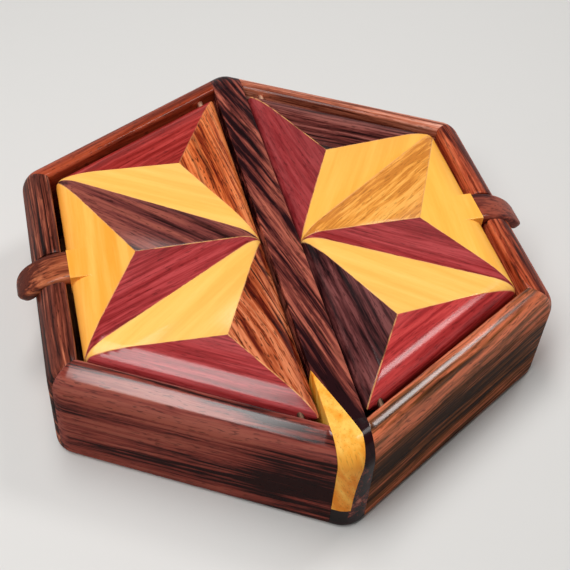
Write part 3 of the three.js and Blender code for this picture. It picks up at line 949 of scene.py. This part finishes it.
# Per lid and piece: wood, direction of its fibres in degrees and what is special about it
LID_WOODS = {
    "left": {
        "far_edge": ("red_wood", 30, dict(
            colours=((130, 30, 26), (160, 48, 44), (182, 64, 60)), glue=0.35)),
        "far_inner": ("orange_cocobolo", 97, dict(
            colours=((118, 36, 12), (202, 98, 48), (232, 134, 78)), rings=0.6, shade=0.04,
            glue=0.35)),
        "far_ray": ("yellow_wood", 150, {}),
        "middle_far_ray": ("dark_cocobolo", 137, dict(
            colours=((66, 30, 30), (112, 54, 50), (146, 78, 66)))),
        "side_edge": ("yellow_wood", 88, dict(
            colours=((241, 163, 58), (249, 174, 74), (253, 186, 88)))),
        "middle_near_ray": ("red_wood", 24, {}),
        "near_ray": ("yellow_wood", 40, {}),
        "near_edge": ("red_wood", 150, dict(coat=0.75)),
        "near_inner": ("orange_cocobolo", 103, dict(
            colours=((90, 24, 10), (170, 80, 44), (216, 128, 86)), rings=1.0, ring_gap=2.9)),
    },
    "right": {
        "far_edge": ("dark_cocobolo", 150, dict(
            colours=((28, 4, 4), (92, 40, 36), (142, 82, 74)))),
        "far_inner": ("red_wood", 99, dict(
            colours=((126, 36, 40), (146, 50, 52), (160, 62, 64)))),
        "far_ray": ("yellow_wood", 60, dict(
            colours=((248, 174, 71), (252, 182, 79), (254, 188, 87)))),
        "middle_far_ray": ("figured_tan_wood", 35, {}),
        "side_edge": ("yellow_wood", 84, dict(
            colours=((250, 179, 73), (253, 187, 81), (254, 193, 91)))),
        "middle_near_ray": ("red_wood", 147, dict(shade=-0.05)),
        "near_ray": ("yellow_wood", 140, {}),
        "near_edge": ("red_wood", 30, dict(
            colours=((144, 34, 35), (176, 52, 52), (194, 66, 64)), coat=0.6)),
        "near_inner": ("dark_cocobolo", 95, dict(
            colours=((30, 12, 15), (82, 40, 40), (120, 68, 66)), rings=0.4)),
    },
}


LID_SEEDS = {"left": 0.4, "right": 3.3}
PIECE_SEED_STEP = 1.7
LID_UNEVEN = 0.12


def make_lid(side_name):
    side = SIDES[side_name]
    body = f"{side_name}_lid"
    block = lid_block(side)
    pieces = star_pieces(side, STAR_SHIFT[side_name])
    for i, (name, (corners, open_corner)) in enumerate(pieces.items()):
        species, grain, changes = LID_WOODS[side_name][name]
        bm = block.copy()
        planes = piece_planes(corners, open_corner)
        for point, normal in planes:
            cut(bm, point, normal)
        if name == "side_edge":
            bm = combined(bm, pull_root(side), "UNION")
        ease_cuts(bm, planes, SEAM_EASE)
        node = f"{body}_{name}"
        seed = LID_SEEDS[side_name] + PIECE_SEED_STEP * i
        material = wood(species, node, grain, seed, planes, uneven=LID_UNEVEN, **changes)
        finish_piece(node, bm, body, material)
    block.free()


# Finger pulls

def rounded_section(half_width, half_height, radius):
    """Points round a rectangle with rounded corners, about its middle."""
    radius = min(radius, half_width, half_height)
    points = []
    for corner in range(4):
        sx = 1 if corner in (0, 3) else -1
        sy = 1 if corner in (0, 1) else -1
        centre = Vector((sx * (half_width - radius), sy * (half_height - radius)))
        for a in quarter(SMALL_ROUND_STEPS):
            angle = corner * math.pi / 2 + a
            points.append(centre + radius * Vector((math.cos(angle), math.sin(angle))))
    return points


def pull_stations(length):
    """Bend, half width and half thickness along the pull, from its root to its tip."""
    nose = PULL_THICKNESS / 2
    start = length - PULL_TIP_RADIUS
    distances = [start * k / PULL_SPANS for k in range(PULL_SPANS)]
    distances += [start + PULL_TIP_RADIUS * math.sin(a) for a in quarter(PULL_TIP_STEPS)]
    stations = []
    for distance in distances:
        into_tip = max(0.0, distance - start)
        tip_width = math.sqrt(max(PULL_TIP_RADIUS ** 2 - into_tip ** 2, 0))
        half_width = PULL_WIDTH / 2 - PULL_TIP_RADIUS + tip_width
        into_nose = max(0.0, distance - (length - PULL_NOSE_LENGTH)) / PULL_NOSE_LENGTH
        half_height = nose * math.sqrt(max(1 - into_nose ** 2, 0))
        stations.append((distance / (PULL_BEND_RADIUS - nose), half_width, half_height))
    return stations


def pull_length():
    """The length along the bend at which the pull reaches exactly as far out as it should."""
    middle_radius = PULL_BEND_RADIUS - PULL_THICKNESS / 2
    wanted = PULL_TIP_X - PULL_ROOT_X - SEAM
    short = wanted
    long = 2 * wanted
    for _ in range(HALVINGS):
        length = (short + long) / 2
        reach = max(
            (middle_radius + half_height) * math.sin(bend)
            for bend, _, half_height in pull_stations(length)
        )
        if reach < wanted:
            short = length
        else:
            long = length
    return short


PULL_WOODS = {
    "left": dict(
        seed=6.6, colours=((86, 34, 20), (150, 76, 48), (184, 106, 70)), rings=0.3,
        drifts=[(0, -84 * MM, -102 * MM, -0.16)]),
    "right": dict(
        seed=8.8, colours=((58, 18, 16), (108, 46, 36), (150, 72, 54)), rings=0.25,
        drifts=[(0, 84 * MM, 102 * MM, 0.14)]),
}


def make_pull(side_name):
    side = SIDES[side_name]
    middle_radius = PULL_BEND_RADIUS - PULL_THICKNESS / 2
    bm = bmesh.new()
    loops = []
    for bend, half_width, half_height in pull_stations(pull_length()):
        outward = Vector((side * math.sin(bend), 0, math.cos(bend)))
        root = Vector((side * (PULL_ROOT_X + SEAM), PULL_SHIFT[side], PULL_CENTRE_Z))
        centre = root + middle_radius * outward
        section = rounded_section(half_width, half_height, PULL_EDGE_RADIUS)
        loops.append([
            bm.verts.new(centre + p.x * Vector((0, 1, 0)) + p.y * outward) for p in section
        ])
    count = len(loops[0])
    for low, high in zip(loops, loops[1:]):
        for i in range(count):
            j = (i + 1) % count
            bm.faces.new((low[i], low[j], high[j], high[i]))
    bm.faces.new(loops[0])
    bm.faces.new(loops[-1])
    bmesh.ops.remove_doubles(bm, verts=bm.verts, dist=WELD)
    name = f"{side_name}_pull"
    material = wood("rosewood", name, 0, **PULL_WOODS[side_name])
    finish_piece(name, bm, f"{side_name}_lid", material)


# Pins and floors

# The near pins are browned as painted shade for the dark gap they sit in; the far pins stay
# bright.
PIN_PAINTED_SHADE = {"far": 0.0, "near": 0.9}
FLOOR_SEEDS = {"floor_left": 2.8, "floor_right": 7.1}


def make_pins():
    for end, painted_shade in PIN_PAINTED_SHADE.items():
        metal = brass(f"brass_{end}", painted_shade)
        for side_name in SIDES:
            name = f"hinge_pin_{side_name}_{end}"
            low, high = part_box(name)
            bm = bmesh.new()
            bmesh.ops.create_cone(
                bm, cap_ends=True, segments=PIN_SEGMENTS, radius1=PIN_RADIUS,
                radius2=PIN_RADIUS, depth=high.y - low.y,
            )
            bmesh.ops.rotate(bm, verts=bm.verts, matrix=Matrix.Rotation(math.pi / 2, 3, "X"))
            bmesh.ops.translate(bm, verts=bm.verts, vec=(low + high) / 2)
            rims = [e for e in bm.edges if e.calc_face_angle(0) > SHARP_ANGLE]
            bmesh.ops.bevel(
                bm, geom=rims, offset=PIN_EASE, segments=2, profile=0.5, affect="EDGES",
            )
            finish_piece(name, bm, "case", metal)


def dress_floors():
    for name, seed in FLOOR_SEEDS.items():
        board = frame["nodes"][name]
        for slot in board.material_slots:
            slot.material = wood("floor_board", name, 90, seed)


# Camera, floor and light

CAMERA_PLACE = Vector((-0.0874, -0.2860, 0.3292))
CAMERA_TARGET = Vector((-0.0055, -0.0306, 0.0450))
CAMERA_ROLL = math.radians(4.64)
CAMERA_LENS = 65.8


def make_camera():
    data = bpy.data.cameras.new("camera")
    data.sensor_width = 36
    data.lens = CAMERA_LENS
    data.clip_start = 0.01
    camera = bpy.data.objects.new("camera", data)
    bpy.context.scene.collection.objects.link(camera)
    aim = (CAMERA_TARGET - CAMERA_PLACE).to_track_quat("-Z", "Y").to_matrix().to_4x4()
    roll = Matrix.Rotation(CAMERA_ROLL, 4, "Z")
    camera.matrix_world = Matrix.Translation(CAMERA_PLACE) @ aim @ roll
    bpy.context.scene.camera = camera


WORLD_LIGHT = 0.13
FLOOR_COLOUR = (214, 214, 212)
FLOOR_ROUGHNESS = 0.8
FLOOR_RADIUS = 1.0
BACKDROP_BEND = 1.5
BACKDROP_HEIGHT = 1.9
BACKDROP_GLOW = 0.5          # keeps the backdrop pale where the lamps hardly reach it
GLOW_START = 0.35            # metres from the box
GLOW_END = 1.3


def make_world():
    world = bpy.data.worlds.new("studio")
    world.use_nodes = True
    bpy.context.scene.world = world
    background = world.node_tree.nodes["Background"]
    background.inputs["Color"].default_value = (1.0, 1.0, 1.0, 1.0)
    background.inputs["Strength"].default_value = WORLD_LIGHT


def floor_material():
    """A pale matt floor. Far from the box it also glows, but casts no light by that."""
    g = Graph("pale_floor")
    g.shader.inputs["Base Color"].default_value = srgb(*FLOOR_COLOUR)
    g.shader.inputs["Roughness"].default_value = FLOOR_ROUGHNESS
    path = g.node("ShaderNodeLightPath")
    seen = g.math("ADD", path.outputs["Is Camera Ray"], path.outputs["Is Glossy Ray"])
    seen = g.math("ADD", seen, path.outputs["Is Transmission Ray"], clamp=True)
    away = g.node("ShaderNodeVectorMath", operation="LENGTH")
    g.feed(away.inputs[0], g.node("ShaderNodeTexCoord").outputs["Object"])
    glow = g.ranged(away.outputs["Value"], GLOW_START, GLOW_END, 0.0, BACKDROP_GLOW)
    g.shader.inputs["Emission Color"].default_value = (1.0, 1.0, 1.0, 1.0)
    g.feed(g.shader.inputs["Emission Strength"], g.math("MULTIPLY", glow, seen))
    return g.material


def make_floor():
    """A round floor that bends up all around into a wall."""
    profile = [Vector((0, 0, 0))]
    for angle in quarter(CURVE_STEPS):
        profile.append(Vector((
            FLOOR_RADIUS + BACKDROP_BEND * math.sin(angle), 0,
            BACKDROP_BEND * (1 - math.cos(angle)),
        )))
    profile.append(Vector((FLOOR_RADIUS + BACKDROP_BEND, 0, BACKDROP_HEIGHT)))
    bm = bmesh.new()
    verts = [bm.verts.new(point) for point in profile]
    edges = [bm.edges.new(pair) for pair in zip(verts, verts[1:])]
    bmesh.ops.spin(
        bm, geom=verts + edges, angle=math.tau, steps=FLOOR_SPANS, axis=(0, 0, 1),
        cent=(0, 0, 0),
    )
    bmesh.ops.remove_doubles(bm, verts=bm.verts, dist=FLOOR_WELD)
    bmesh.ops.dissolve_degenerate(bm, edges=bm.edges, dist=FLOOR_WELD)
    bmesh.ops.recalc_face_normals(bm, faces=bm.faces)
    for face in bm.faces:
        face.smooth = True
        if face.normal.z < 0:
            face.normal_flip()
    mesh = bpy.data.meshes.new("floor")
    bm.to_mesh(mesh)
    bm.free()
    mesh.materials.append(floor_material())
    floor = bpy.data.objects.new("floor", mesh)
    bpy.context.scene.collection.objects.link(floor)


def area_light(name, ends, width, radiance, colour):
    """A straight soft light from one end to the other, which faces the middle of the box."""
    start, end = map(Vector, ends)
    middle = (start + end) / 2
    along = (end - start).normalized()
    back = (middle - LIT_POINT).normalized()
    back = (back - back.dot(along) * along).normalized()
    across = along.cross(back)
    data = bpy.data.lights.new(name, "AREA")
    data.shape = "RECTANGLE"
    data.size = width
    data.size_y = (end - start).length
    data.energy = radiance * math.pi * data.size * data.size_y
    data.color = colour
    light = bpy.data.objects.new(name, data)
    bpy.context.scene.collection.objects.link(light)
    turn = Matrix((across, along, back)).transposed().to_4x4()
    light.matrix_world = Matrix.Translation(middle) @ turn


LIT_POINT = Vector((0, 0, 0.04))
SOFT_WHITE = (1.0, 0.98, 0.97)
# A long soft light from the far side over the box to the near left, and a short one to the right.
# Each has its two ends, its width and its radiance.
LIGHTS = {
    "overhead": (((0.0, 0.38, 0.93), (-0.57, -0.55, 0.78)), 0.27, 9.2),
    "right": (((0.38, 0.17, 0.89), (0.58, 0.32, 0.86)), 0.24, 14.0),
}


make_staves()
make_board()
make_pins()
dress_floors()
for lid_side in SIDES:
    make_lid(lid_side)
    make_pull(lid_side)
make_camera()
make_world()
make_floor()
for light_name, (light_ends, light_width, light_radiance) in LIGHTS.items():
    area_light(light_name, light_ends, light_width, light_radiance, SOFT_WHITE)
bpy.context.scene.view_settings.view_transform = "Standard"
